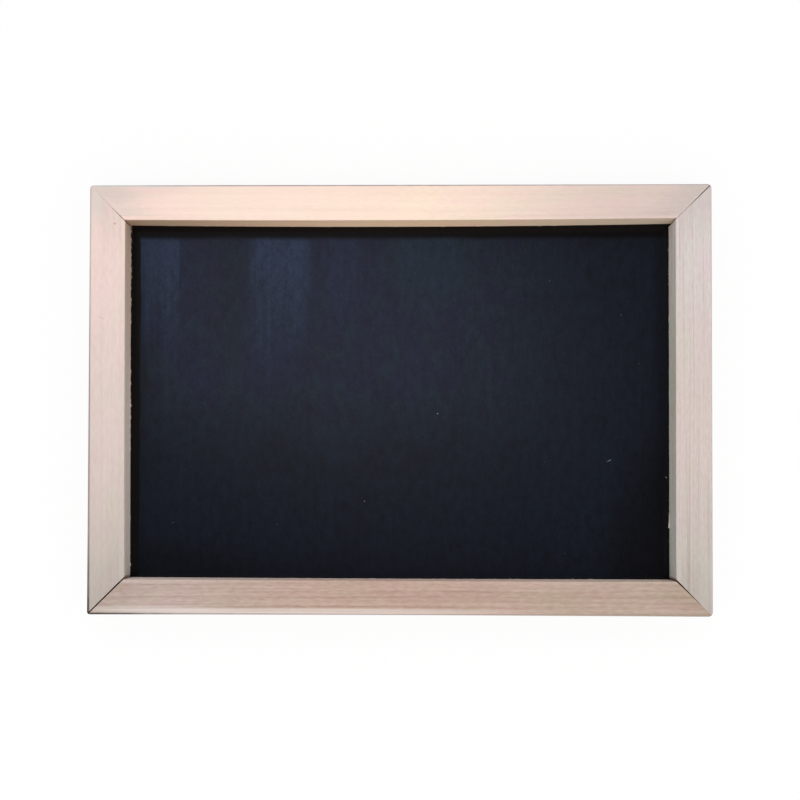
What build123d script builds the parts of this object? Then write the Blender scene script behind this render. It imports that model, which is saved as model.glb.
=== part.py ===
from build123d import *

import os
from math import sqrt

# A framed slate writing board: a black-coated panel in a mitred softwood frame.
# Millimetres. The board lies on its back with the writing face up, as it is written on. X runs along its
# width, Y along its height, towards the top rail, and Z up through its depth. The origin is the middle of
# its back.

# Writing panel: hardboard with a black writing coat
panel_width = 300.0
panel_height = 200.0
panel_thickness = 3.0

# Frame moulding: one rebated softwood section on all four sides
moulding_width = 19.0
moulding_depth = 19.0
lip_thickness = 10.0  # wood in front of the panel
lip_overlap = 6.0  # how far the lip laps over the panel's edge
panel_clearance = 0.5  # room round the panel's edge in the rebate
mitre_gap = 0.2  # open line between the two cut ends at a corner
corner_radius = 2.0  # outer corners, sanded round after assembly
arris_radius = 0.5  # long edges, eased by sanding

# V-nails: bent steel strips that are driven across each mitre from behind
v_nail_leg = 6.0
v_nail_length = 12.0
v_nail_thickness = 0.6
v_nail_set = 0.4  # how far below the back of the frame they are driven
v_nails_per_corner = 2

# Glazier's points: flat steel darts in the rebate wall that hold the panel against the lip
point_width = 7.0
point_tip = 4.0  # length of the tapered end
point_embed = 7.0  # length that is in the wood, tip included
point_reach = 6.5  # length that lies over the back of the panel
point_thickness = 0.5
points_per_rail = 3
points_per_stile = 2

# Worked out from the sizes above
sight_width = panel_width - 2 * lip_overlap
sight_height = panel_height - 2 * lip_overlap
frame_width = sight_width + 2 * moulding_width
frame_height = sight_height + 2 * moulding_width
rebate_width = panel_width + 2 * panel_clearance
rebate_height = panel_height + 2 * panel_clearance
wall = (frame_width - rebate_width) / 2  # wood outside the rebate
panel_front_z = moulding_depth - lip_thickness
panel_back_z = panel_front_z - panel_thickness
overcut = 1.0  # how far a cutter runs past the face that it opens


def slab(sketch, bottom_z, top_z):
    """The sketch, drawn in plan, as a solid between two heights."""
    return extrude(Pos(0, 0, bottom_z) * sketch, amount=top_z - bottom_z, dir=(0, 0, 1))


# Frame
def frame_blank():
    """The whole frame as one ring, with its rebate, round corners and eased edges, before it is mitred."""
    outline = RectangleRounded(frame_width, frame_height, corner_radius)
    ring = slab(outline - Rectangle(sight_width, sight_height), 0, moulding_depth)
    ring -= slab(Rectangle(rebate_width, rebate_height), -overcut, panel_front_z)
    front_edges = ring.faces().sort_by(Axis.Z)[-1].edges()
    back_outer_edges = ring.faces().sort_by(Axis.Z)[0].outer_wire().edges()
    return fillet(front_edges + back_outer_edges, arris_radius)


def mitre_wedge(length, half_span, turn):
    """A prism that keeps one side of the frame: a trapezoid with 45 degree ends, drawn for the top side."""
    shift = mitre_gap / sqrt(2)
    outer_x = length / 2 + overcut - shift
    outer_y = half_span + overcut
    reach = moulding_width + 2 * overcut
    corners = [
        (-outer_x, outer_y),
        (-outer_x + reach, outer_y - reach),
        (outer_x - reach, outer_y - reach),
        (outer_x, outer_y),
    ]
    return slab(Rot(0, 0, turn) * Polygon(*corners, align=None), -overcut, moulding_depth + overcut)


def frame_sides(blank):
    """The four mouldings, cut from the ring along its mitres."""
    return {
        "top_rail": blank & mitre_wedge(frame_width, frame_height / 2, 0),
        "left_stile": blank & mitre_wedge(frame_height, frame_width / 2, 90),
        "bottom_rail": blank & mitre_wedge(frame_width, frame_height / 2, 180),
        "right_stile": blank & mitre_wedge(frame_height, frame_width / 2, -90),
    }


# Writing panel
def writing_panel():
    return slab(Rectangle(panel_width, panel_height), panel_back_z, panel_front_z)


# Corner V-nails
def v_nails(x_side, y_side, back_z):
    """The V-nails of one corner, evenly spaced along the mitre and reaching back to back_z.

    Each is an angle whose legs lie along the two sides, with its apex towards the outer corner.
    """
    inward = (Align.MAX if x_side > 0 else Align.MIN, Align.MAX if y_side > 0 else Align.MIN)
    along_rail = Rectangle(v_nail_leg, v_nail_thickness, align=inward)
    along_stile = Rectangle(v_nail_thickness, v_nail_leg, align=inward)
    strips = []
    for number in range(1, v_nails_per_corner + 1):
        inset = wall * number / (v_nails_per_corner + 1)
        apex = Pos(x_side * (frame_width / 2 - inset), y_side * (frame_height / 2 - inset))
        strips.append(slab(apex * (along_rail + along_stile), back_z, v_nail_set + v_nail_length))
    return Compound(strips)


# Glazier's points
def point_row(count, length, half_span, turn):
    """The points along one side of the rebate, evenly spaced, drawn for the top side."""
    dart = Polygon(
        (-point_width / 2, -point_reach),
        (point_width / 2, -point_reach),
        (point_width / 2, point_embed - point_tip),
        (0, point_embed),
        (-point_width / 2, point_embed - point_tip),
        align=None,
    )
    darts = []
    for number in range(count):
        along = length * ((number + 0.5) / count - 0.5)
        placed = Rot(0, 0, turn) * Pos(along, half_span) * dart
        darts.append(slab(placed, panel_back_z - point_thickness, panel_back_z))
    return Compound(darts)


# Assembly
def build():
    """Every piece by name, with the slots that the fasteners make in the wood."""
    pieces = frame_sides(frame_blank())
    pieces["writing_panel"] = writing_panel()

    for y_name, y_side, rail in (("top", 1, "top_rail"), ("bottom", -1, "bottom_rail")):
        for x_name, x_side, stile in (("left", -1, "left_stile"), ("right", 1, "right_stile")):
            pieces[f"v_nails_{y_name}_{x_name}"] = v_nails(x_side, y_side, v_nail_set)
            slots = v_nails(x_side, y_side, -overcut)
            pieces[rail] -= slots
            pieces[stile] -= slots

    rows = {
        "top": ("top_rail", points_per_rail, panel_width, rebate_height / 2, 0),
        "left": ("left_stile", points_per_stile, panel_height, rebate_width / 2, 90),
        "bottom": ("bottom_rail", points_per_rail, panel_width, rebate_height / 2, 180),
        "right": ("right_stile", points_per_stile, panel_height, rebate_width / 2, -90),
    }
    for name, (side, count, length, half_span, turn) in rows.items():
        row = point_row(count, length, half_span, turn)
        pieces[f"panel_points_{name}"] = row
        pieces[side] -= row
    return pieces


os.makedirs("parts", exist_ok=True)
for node, shape in build().items():
    export_step(shape, f"parts/{node}.step")
print(f"frame {frame_width:g} x {frame_height:g} x {moulding_depth:g}")
print(f"sight {sight_width:g} x {sight_height:g}")
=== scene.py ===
# A framed black writing board that lies on its back, face up. Metres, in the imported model's frame.
import math

import bmesh
import bpy
from mathutils import Euler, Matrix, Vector


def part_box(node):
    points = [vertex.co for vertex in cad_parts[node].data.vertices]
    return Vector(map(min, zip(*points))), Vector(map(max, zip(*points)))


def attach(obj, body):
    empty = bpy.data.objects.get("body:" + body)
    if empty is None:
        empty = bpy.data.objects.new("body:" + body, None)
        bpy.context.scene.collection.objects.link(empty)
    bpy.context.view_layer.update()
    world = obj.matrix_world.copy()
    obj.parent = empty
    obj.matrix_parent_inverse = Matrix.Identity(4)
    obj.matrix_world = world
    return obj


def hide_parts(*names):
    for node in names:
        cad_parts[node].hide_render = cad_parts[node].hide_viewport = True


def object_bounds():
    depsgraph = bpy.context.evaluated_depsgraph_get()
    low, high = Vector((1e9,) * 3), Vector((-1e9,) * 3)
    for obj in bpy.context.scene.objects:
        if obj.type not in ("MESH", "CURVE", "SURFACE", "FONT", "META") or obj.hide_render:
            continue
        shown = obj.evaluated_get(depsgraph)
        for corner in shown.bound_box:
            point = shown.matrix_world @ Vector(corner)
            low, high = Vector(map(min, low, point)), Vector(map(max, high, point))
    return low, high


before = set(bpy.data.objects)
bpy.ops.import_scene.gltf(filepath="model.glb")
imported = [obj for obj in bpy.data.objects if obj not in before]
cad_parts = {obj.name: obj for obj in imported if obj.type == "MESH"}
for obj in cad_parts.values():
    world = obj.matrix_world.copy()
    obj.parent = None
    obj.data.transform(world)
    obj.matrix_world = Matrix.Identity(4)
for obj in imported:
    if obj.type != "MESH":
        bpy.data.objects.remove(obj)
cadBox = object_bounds()
mm = 0.001

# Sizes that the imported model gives
halfWidth, halfHeight, boardDepth = cadBox[1]
panelLow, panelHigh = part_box("writing_panel")
panelFace = panelHigh.z
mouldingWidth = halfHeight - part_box("top_rail")[0].y
sightX = halfWidth - mouldingWidth
sightY = halfHeight - mouldingWidth
print("frame loaded, board", round(2 * halfWidth / mm), "x", round(2 * halfHeight / mm), "mm")

cameraSet = {
    "place": (4.5, -50.9, 424.5),  # mm
    "turn": (0.779, 0.631, 0.129),  # degrees
    "lens": 35.0,
    "sensor": 36.0,
    "shift": (0.0014, 0.1077),
    "nearest": 10.0,  # mm
    "picture": 800,  # pixels, both ways
}


def cameraTurn():
    return Euler([math.radians(angle) for angle in cameraSet["turn"]])


def pointAtLevel(pixel, level):  # where a pixel of the picture meets a level plane
    picture = cameraSet["picture"]
    focal = picture * cameraSet["lens"] / cameraSet["sensor"]
    right = (pixel[0] - picture / 2 + picture * cameraSet["shift"][0]) / focal
    up = (picture / 2 - pixel[1] + picture * cameraSet["shift"][1]) / focal
    ray = cameraTurn().to_matrix() @ Vector((right, up, -1.0))
    place = Vector(cameraSet["place"]) * mm
    return place + ray * ((level - place.z) / ray.z)


# Node helpers
drawing = {"tree": None}  # the node tree that they draw in


def plug(socket, value):  # a colour is given as red, green and blue
    if isinstance(value, bpy.types.NodeSocket):
        drawing["tree"].links.new(value, socket)
    elif socket.type == "RGBA":
        socket.default_value = (*value, 1.0)
    else:
        socket.default_value = value


def add(kind, values=None, **settings):
    node = drawing["tree"].nodes.new(kind)
    for name, value in settings.items():
        setattr(node, name, value)
    for name, value in (values or {}).items():
        plug(node.inputs[name], value)
    return node


def output(kind, values=None, **settings):  # a new node's first output
    return add(kind, values, **settings).outputs[0]


def calc(operation, *values):
    return output("ShaderNodeMath", dict(enumerate(values)), operation=operation)


def chain(operation, values):
    result = values[0]
    for value in values[1:]:
        result = calc(operation, result, value)
    return result


def total(*values):
    return chain("ADD", values)


def product(*values):
    return chain("MULTIPLY", values)


def less(value, taken):
    return calc("SUBTRACT", value, taken)


def centred(value, strength):  # a 0 to 1 value as a swing either side of zero
    return product(less(value, 0.5), strength)


def between(share, start, end):  # straight from one value to another
    return output("ShaderNodeMapRange", {"Value": share, "To Min": start, "To Max": end})


def fade(value, low, high, outLow=0.0, outHigh=1.0):  # smooth step between two values
    limits = {"Value": value, "From Min": low, "From Max": high, "To Min": outLow, "To Max": outHigh}
    return output("ShaderNodeMapRange", limits, interpolation_type="SMOOTHSTEP")


def fadeMm(value, limits, *outs):  # the same, with its limits in mm
    return fade(value, limits[0] * mm, limits[1] * mm, *outs)


def scaled(vector, factors):
    return output("ShaderNodeVectorMath", {0: vector, 1: factors}, operation="MULTIPLY")


def vectorValue(operation, *vectors):
    return add("ShaderNodeVectorMath", dict(enumerate(vectors)), operation=operation).outputs["Value"]


def split(vector):
    return add("ShaderNodeSeparateXYZ", {"Vector": vector}).outputs


def joined(x, y, z):
    return output("ShaderNodeCombineXYZ", {"X": x, "Y": y, "Z": z})


def noise(vector, scale, detail=2.0, seed=0.0):  # scale is one number, or one for each axis
    if isinstance(scale, tuple):
        vector = scaled(vector, scale)
        scale = 1.0
    values = {"Vector": vector, "W": seed, "Scale": scale, "Detail": detail}
    return output("ShaderNodeTexNoise", values, noise_dimensions="4D")


def mixColor(factor, first, second, blend="MIX", clamped=True):
    values = {0: factor, 6: first, 7: second}  # the sockets of a mix of colours
    node = add("ShaderNodeMix", values, data_type="RGBA", blend_type=blend, clamp_factor=clamped)
    return node.outputs[2]


def mapped(vector, middle, size, tilt):  # a vector as seen from a place, with that size and tilt
    values = {"Vector": vector, "Location": middle, "Rotation": (0.0, 0.0, math.radians(tilt)), "Scale": size}
    return output("ShaderNodeMapping", values, vector_type="TEXTURE")


def ovalReach(vector, middle, size, tilt=0.0):  # 0 at the middle of an oval, 1 at its rim, size in mm
    local = mapped(vector, (middle[0], middle[1], 0.0), (size[0] * mm, size[1] * mm, 1.0), tilt)
    return vectorValue("LENGTH", scaled(local, (1.0, 1.0, 0.0)))


def newTree(name, kind, inputs, outputs):  # the sockets' names, listed under their kinds
    tree = bpy.data.node_groups.new(name, kind)
    drawing["tree"] = tree
    for way, sockets in (("INPUT", inputs), ("OUTPUT", outputs)):
        for socketKind, labels in sockets.items():
            for label in labels:
                tree.interface.new_socket(name=label, in_out=way, socket_type="NodeSocket" + socketKind)
    return tree, tree.nodes.new("NodeGroupInput").outputs, tree.nodes.new("NodeGroupOutput").inputs


def finishTree(geometry, material, end):
    real = output("GeometryNodeRealizeInstances", {"Geometry": geometry})
    plug(end, output("GeometryNodeSetMaterial", {"Geometry": real, "Material": material}))


def spin(angle):  # a turn about the vertical
    return output("FunctionNodeEulerToRotation", {"Euler": joined(0.0, 0.0, angle)})


def placeGroup(group, values):
    return add("ShaderNodeGroup", values, node_tree=group).outputs


def newMaterial(name):
    material = bpy.data.materials.new(name)
    material.use_nodes = True
    drawing["tree"] = material.node_tree
    return material, material.node_tree.nodes["Principled BSDF"].inputs


def objectVector(turn=0.0):
    where = add("ShaderNodeTexCoord").outputs["Object"]
    return output("ShaderNodeMapping", {"Vector": where, "Rotation": (0.0, 0.0, turn)})


def bumped(height, distance, strength):  # distance in mm
    return output("ShaderNodeBump", {"Height": height, "Distance": distance * mm, "Strength": strength})


# Piece helpers
mergeReach = 0.001  # mm, points closer than this become one


def inMetres(sizes):
    return {name: size * mm for name, size in sizes.items()}


def placed(name, data):
    piece = bpy.data.objects.new(name, data)
    bpy.context.scene.collection.objects.link(piece)
    return piece


def keepResult(piece, modifier):  # what the modifier makes becomes the piece's plain mesh
    made = bpy.data.meshes.new_from_object(piece.evaluated_get(bpy.context.evaluated_depsgraph_get()))
    piece.modifiers.remove(modifier)
    piece.data = made


def growPiece(name, mesh, tree, values):  # runs a geometry tree
    piece = placed(name, mesh)
    modifier = piece.modifiers.new(tree.name, "NODES")
    modifier.node_group = tree
    for item in tree.interface.items_tree:
        if item.in_out == "INPUT" and item.name in values:
            modifier[item.identifier] = values[item.name]
    keepResult(piece, modifier)
    return piece


def meshOf(shape, name):
    mesh = bpy.data.meshes.new(name)
    shape.to_mesh(mesh)
    shape.free()
    return mesh


def pointsOutward(mesh, sharpAngle=40.0):
    shape = bmesh.new()
    shape.from_mesh(mesh)
    bmesh.ops.remove_doubles(shape, verts=shape.verts, dist=mergeReach * mm)
    bmesh.ops.triangulate(shape, faces=[face for face in shape.faces if len(face.verts) > 4])
    bmesh.ops.recalc_face_normals(shape, faces=shape.faces)
    shape.to_mesh(mesh)
    shape.free()
    mesh.shade_smooth()
    mesh.set_sharp_from_angle(angle=math.radians(sharpAngle))


def settle(piece, nodes=()):
    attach(piece, "root")
    if nodes:
        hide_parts(*nodes)


# Wood finish, shared by the four mouldings
grainSet = {
    "noises": {  # scale per metre along, across and through the grain, detail, shift of the seed
        "tone": ((11.0, 90.0, 90.0), 2.0, 0.0),
        "hue": ((60.0, 140.0, 140.0), 2.0, 7.0),
        "wander": ((6.0, 25.0, 25.0), 1.0, 0.0),
        "fibres": ((70.0, 3600.0, 3600.0), 2.0, 0.0),
        "pores": ((240.0, 2600.0, 2600.0), 1.0, 0.0),
        "dashes": ((260.0, 900.0, 900.0), 3.0, 0.0),
    },
    "ringSlant": 0.4,  # how far the rings lean through the wood
    "ringChange": 5.0,  # per metre along the grain
    "ringDetail": 3.0,
    "lineLimits": (0.54, 0.68),  # of the rings: no dark line, whole line
    "poreLimits": (0.68, 0.8),
    "hueLimits": (0.35, 0.65),
    "blush": (1.015, 0.985, 1.0),  # hues that the wood drifts between
    "straw": (0.99, 1.01, 0.975),
    "darkness": 0.4,
    "fibreDark": 0.5,
    "poreDark": 0.3,
    "ringRise": 0.5,
    "poreRise": -0.8,
    "rough": 0.58,
    "fibreRough": 0.2,
    "poreRough": 0.15,
    "markBreaks": (0.35, 0.6, 1.0, 0.45),  # the rings break up the marks: two limits, the share left at each
    "bump": (0.12, 0.5),  # mm, strength
    "specular": 0.3,
    "endWhole": 0.8,  # share of the half length at which a side's end colour is whole
}


def buildAlongShading():  # painted light and shade that change along a side, from its left or lower end to the other
    tree, given, made = newTree(
        "alongShading",
        "ShaderNodeTree",
        {"Float": ["Along", "Half Length", "Start Reach", "End Reach"], "Color": ["Start", "Middle", "End"]},
        {"Color": ["Color"]},
    )
    place = calc("DIVIDE", given["Along"], given["Half Length"])  # -1 at the start, 1 at the end
    shading = mixColor(fade(place, -1.0, given["Start Reach"]), given["Start"], given["Middle"])
    ending = fade(place, given["End Reach"], grainSet["endWhole"])
    plug(made["Color"], mixColor(ending, shading, given["End"]))
    return tree


def buildWoodGrain():
    tree, given, made = newTree(
        "woodGrain",
        "ShaderNodeTree",
        {
            "Vector": ["Vector"],
            "Color": ["Pale", "Dark"],
            "Float": ["Line Spacing", "Line Wander", "Lines", "Streaks", "Tone", "Dashes", "Seed"],
        },
        {"Color": ["Color"], "Float": ["Height", "Rough", "Streak"]},
    )
    layers = {}
    for name, (scale, detail, shift) in grainSet["noises"].items():
        layers[name] = noise(given["Vector"], scale, detail, total(given["Seed"], shift))
    along, across, deep = split(given["Vector"])
    bend = centred(layers["wander"], given["Line Wander"])
    ringPlace = total(across, bend, product(deep, grainSet["ringSlant"]))
    ringSteps = calc("DIVIDE", ringPlace, given["Line Spacing"])
    ringVector = joined(product(along, grainSet["ringChange"]), ringSteps, 0.0)
    rings = noise(ringVector, 1.0, grainSet["ringDetail"], given["Seed"])
    fibres = layers["fibres"]
    pores = fade(layers["pores"], *grainSet["poreLimits"])
    darkness = total(
        grainSet["darkness"],
        centred(layers["tone"], given["Tone"]),
        centred(rings, given["Streaks"]),
        product(fade(rings, *grainSet["lineLimits"]), given["Lines"]),
        centred(layers["dashes"], given["Dashes"]),
        centred(fibres, grainSet["fibreDark"]),
        product(pores, grainSet["poreDark"]),
    )
    wood = mixColor(darkness, given["Pale"], given["Dark"])
    drift = fade(layers["hue"], *grainSet["hueLimits"])
    hue = mixColor(drift, grainSet["blush"], grainSet["straw"])
    plug(made["Color"], mixColor(1.0, wood, hue, "MULTIPLY"))
    ringRise = product(rings, grainSet["ringRise"])
    plug(made["Height"], total(fibres, ringRise, product(pores, grainSet["poreRise"])))
    fibreRough = centred(fibres, grainSet["fibreRough"])
    poreRough = product(pores, grainSet["poreRough"])
    plug(made["Rough"], total(grainSet["rough"], fibreRough, poreRough))
    plug(made["Streak"], fade(rings, *grainSet["markBreaks"]))
    return tree


# Painted shade along the outer front edges, dirt and painted shade in and beside the mitres, and painted
# light and shade on the sides of the opening.
# A pair is where a mask begins and where it is whole, in mm. Depths are from the front.
shadeAndDirtSet = {
    "edgeDepth": (2.0, 0.6),
    "edgeWhole": 0.45,  # share of its reach at which the edge's painted shade is whole
    "edgeEven": 0.2,  # share of the half length from which its reach stays the same
    "edgeMiddle": (-0.55, 0.0),  # where along a side its middle colour is whole
    "openingReach": (2.6, 2.0),  # from the sight edge
    "openingDepth": (0.3, 0.7),
    "mitreReach": (1.2, 0.72),
    "mitreDepth": (0.05, 0.3),
    "mitreFoot": (12.0, 9.0),
    "cornerReach": (0.7, 0.95),  # the outer rounding stays free of the mitre darkening
    "sparedHeight": (-11.3, 11.3),  # the upper corners of the opening get no mitre darkening
    "lowSpared": 0.3,  # and the lower ones by this share
    "jointReach": (28.0, 3.0),
    "markDepth": (3.0, 1.0),
    "patches": (140.0, 3.0),  # noise scale per metre, detail
    "edgePatches": (0.25, 0.6, 0.75, 1.0),  # two limits of that noise, the share of painted edge shade at each
    "jointPatches": (0.2, 0.7, 0.8, 1.0),
    "mitreDirtAndShade": (0.14, 0.04, 0.02),
}


def buildEdgeShadeAndDirt():
    tree, given, made = newTree(
        "edgeShadeAndDirt",
        "ShaderNodeTree",
        {"Vector": ["Vector"], "Float": ["Edge Reach", "Seed"]},
        {"Float": ["Edge", "Mitre", "Joint", "Reveal"]},
    )

    def within(value, name):
        return fadeMm(value, shadeAndDirtSet[name])

    x, y, z = split(given["Vector"])
    fromSide = less(halfWidth, calc("ABSOLUTE", x))
    fromEnd = less(halfHeight, calc("ABSOLUTE", y))
    inward = calc("MINIMUM", fromSide, fromEnd)
    deep = less(boardDepth, z)
    patchy = noise(given["Vector"], *shadeAndDirtSet["patches"], given["Seed"])
    # Painted shade along the outer front edges, where the rounding turns away from the light
    nearEdge = fade(inward, given["Edge Reach"], product(given["Edge Reach"], shadeAndDirtSet["edgeWhole"]))
    edgePatches = fade(patchy, *shadeAndDirtSet["edgePatches"])
    plug(made["Edge"], product(nearEdge, within(deep, "edgeDepth"), edgePatches))

    # Mask of the sides of the opening, where painted light and shade are laid on
    opening = within(less(mouldingWidth, inward), "openingReach")
    plug(made["Reveal"], product(opening, within(deep, "openingDepth")))

    # Dirt and painted shade in the mitre gaps, and on the sides of the opening only at the lower corners, as
    # a painted shadow gap
    offMitre = calc("ABSOLUTE", less(fromSide, fromEnd))
    sunk = product(within(deep, "mitreDepth"), within(deep, "mitreFoot"), within(inward, "cornerReach"))
    spared = fadeMm(y, shadeAndDirtSet["sparedHeight"], shadeAndDirtSet["lowSpared"], 1.0)
    shadedAndDirty = less(1.0, product(opening, spared))
    plug(made["Mitre"], product(within(offMitre, "mitreReach"), sunk, shadedAndDirty))
    onFront = less(1.0, opening)
    jointPatches = fade(patchy, *shadeAndDirtSet["jointPatches"])
    plug(made["Joint"], product(within(offMitre, "jointReach"), onFront, jointPatches))
    return tree


alongShading = buildAlongShading()
woodGrain = buildWoodGrain()
edgeShadeAndDirt = buildEdgeShadeAndDirt()


def mark(pixel, size, color, strength, core=0.2, tilt=0.0, depth=0.0):  # pixel of the picture, size in mm
    return dict(pixel=pixel, size=size, color=color, strength=strength, core=core, tilt=tilt, depth=depth)


def markMask(vector, spotMark):  # a soft oval on the front of the frame
    spot = pointAtLevel(spotMark["pixel"], boardDepth)
    reach = ovalReach(vector, spot, spotMark["size"], spotMark["tilt"])
    deep = less(boardDepth, split(vector)[2])
    return product(fade(reach, 1.0, spotMark["core"]), fadeMm(deep, shadeAndDirtSet["markDepth"]))


def woodMaterial(name, look, alongY):
    material, shader = newMaterial(name)
    plain = objectVector()
    turned = objectVector(-math.pi / 2 if alongY else 0.0)
    along = split(turned)[0]
    halfLength = halfHeight if alongY else halfWidth

    def shadedAlong(colors, reaches):  # painted light and shade along the side, and where the middle one is whole
        values = {"Along": along, "Half Length": halfLength}
        values.update(zip(("Start", "Middle", "End"), colors))
        values.update(zip(("Start Reach", "End Reach"), reaches))
        return placeGroup(alongShading, values)["Color"]

    colors = {"Pale": look["pale"], "Dark": look["dark"]}
    grain = placeGroup(woodGrain, {"Vector": turned, **colors, **inMetres(look["lines"]), **look["grain"]})
    edgeReach = [reach * mm for reach in look["edgeReach"]]
    edgeReach = fade(along, -halfLength, shadeAndDirtSet["edgeEven"] * halfLength, *edgeReach)
    values = {"Vector": plain, "Edge Reach": edgeReach, "Seed": look["grain"]["Seed"]}
    shadeAndDirt = placeGroup(edgeShadeAndDirt, values)
    # Painted light: each side gets lighter or darker, warmer or greyer, along its length as the light falls
    # off
    color = mixColor(1.0, grain["Color"], shadedAlong(look["lightFalloff"], look["middle"]), "MULTIPLY")
    height = grain["Height"]
    for spotMark in look["marks"]:
        mask = markMask(plain, spotMark)
        share = product(mask, grain["Streak"], spotMark["strength"])
        color = mixColor(share, color, spotMark["color"])
        height = less(height, product(mask, spotMark["depth"]))
    # Painted light and shade on the sides of the opening, with some hue of their own
    color = mixColor(shadeAndDirt["Reveal"], color, shadedAlong(look["revealShading"], look["middle"]), "MULTIPLY")
    color = mixColor(shadeAndDirt["Joint"], color, look["joint"], "MULTIPLY")
    # Painted shade along the outer front edges
    color = mixColor(shadeAndDirt["Edge"], color, shadedAlong(look["edges"], shadeAndDirtSet["edgeMiddle"]))
    # Dirt and painted shade in the mitre gaps
    color = mixColor(shadeAndDirt["Mitre"], color, shadeAndDirtSet["mitreDirtAndShade"])
    plug(shader["Base Color"], color)
    plug(shader["Roughness"], grain["Rough"])
    plug(shader["Normal"], bumped(height, *grainSet["bump"]))
    shader["Specular IOR Level"].default_value = grainSet["specular"]
    return material


# Mouldings: one section, swept along each side, mitred and eased by a geometry tree
section = {
    "arris": 0.5,  # mm, rounding of the long outer edges
    "sightArris": 0.4,  # rounding of the edge round the opening
    "lip": 10.0,  # wood in front of the panel
    "lap": 6.5,  # how far the lip stands in from the rebate wall
    "arcSteps": 4,
    "support": 0.25,  # loop beside each rounding, which keeps the flats flat
    "spacing": 1.8,  # between points across the flats
    "step": 0.5,  # between rings along a side
    "mitre": {  # mm
        "Gap Depth": 4.0,  # how far down an open mitre closes again
        "Gap Roughness": 0.12,
        "Closed Gap": 0.004,
    },
    "tip": {
        "Tip Depth": 0.1,  # share of the gap's depth at the outer corner
        "Tip Reach": 0.15,  # share of the width over which it deepens
    },
    "gapGrain": 9.0,  # scale of the gap's unevenness
    "lipPower": 6.0,  # how closely a lean or bow of the lip keeps to it
    "shiftPower": 3.0,  # how closely a shift of the opening does
    "tornFrom": 0.97,  # share of the width where the torn edge begins
    "tornRise": 1.6,  # mm that it goes up from the lip's back
    "tornDetail": 4.0,
    "tornLimits": (0.5, 0.8),  # of the noise: whole edge, deepest tear
    "trim": (1.0, 0.9985, 1.0),  # the frame is a little shorter than it is drawn
}
lipBack = boardDepth - section["lip"] * mm


def sectionMesh():
    wall = mouldingWidth - section["lap"] * mm
    arris = section["arris"] * mm
    corners = [
        (0.0, 0.0, arris),
        (0.0, boardDepth, arris),
        (mouldingWidth, boardDepth, section["sightArris"] * mm),
        (mouldingWidth, lipBack, 0.0),
        (wall, lipBack, 0.0),
        (wall, 0.0, 0.0),
    ]
    loop = []
    for index, (across, rise, radius) in enumerate(corners):
        corner = Vector((across, rise))
        before = (Vector(corners[index - 1][:2]) - corner).normalized()
        after = (Vector(corners[(index + 1) % len(corners)][:2]) - corner).normalized()
        if radius == 0.0:
            loop.append(corner)
            continue
        support = radius + section["support"] * mm
        centre = corner + (before + after) * radius
        loop.append(corner + before * support)
        for step in range(section["arcSteps"] + 1):
            angle = 0.5 * math.pi * step / section["arcSteps"]
            loop.append(centre - after * radius * math.cos(angle) - before * radius * math.sin(angle))
        loop.append(corner + after * support)
    points = []
    for start, end in zip(loop, loop[1:] + loop[:1]):
        count = max(1, round((end - start).length / (section["spacing"] * mm)))
        points += [start.lerp(end, number / count) for number in range(count)]
    edges = [(number, (number + 1) % len(points)) for number in range(len(points))]
    mesh = bpy.data.meshes.new("mouldingSection")
    mesh.from_pydata([(point.x, point.y, 0.0) for point in points], edges, [])
    return mesh


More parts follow.
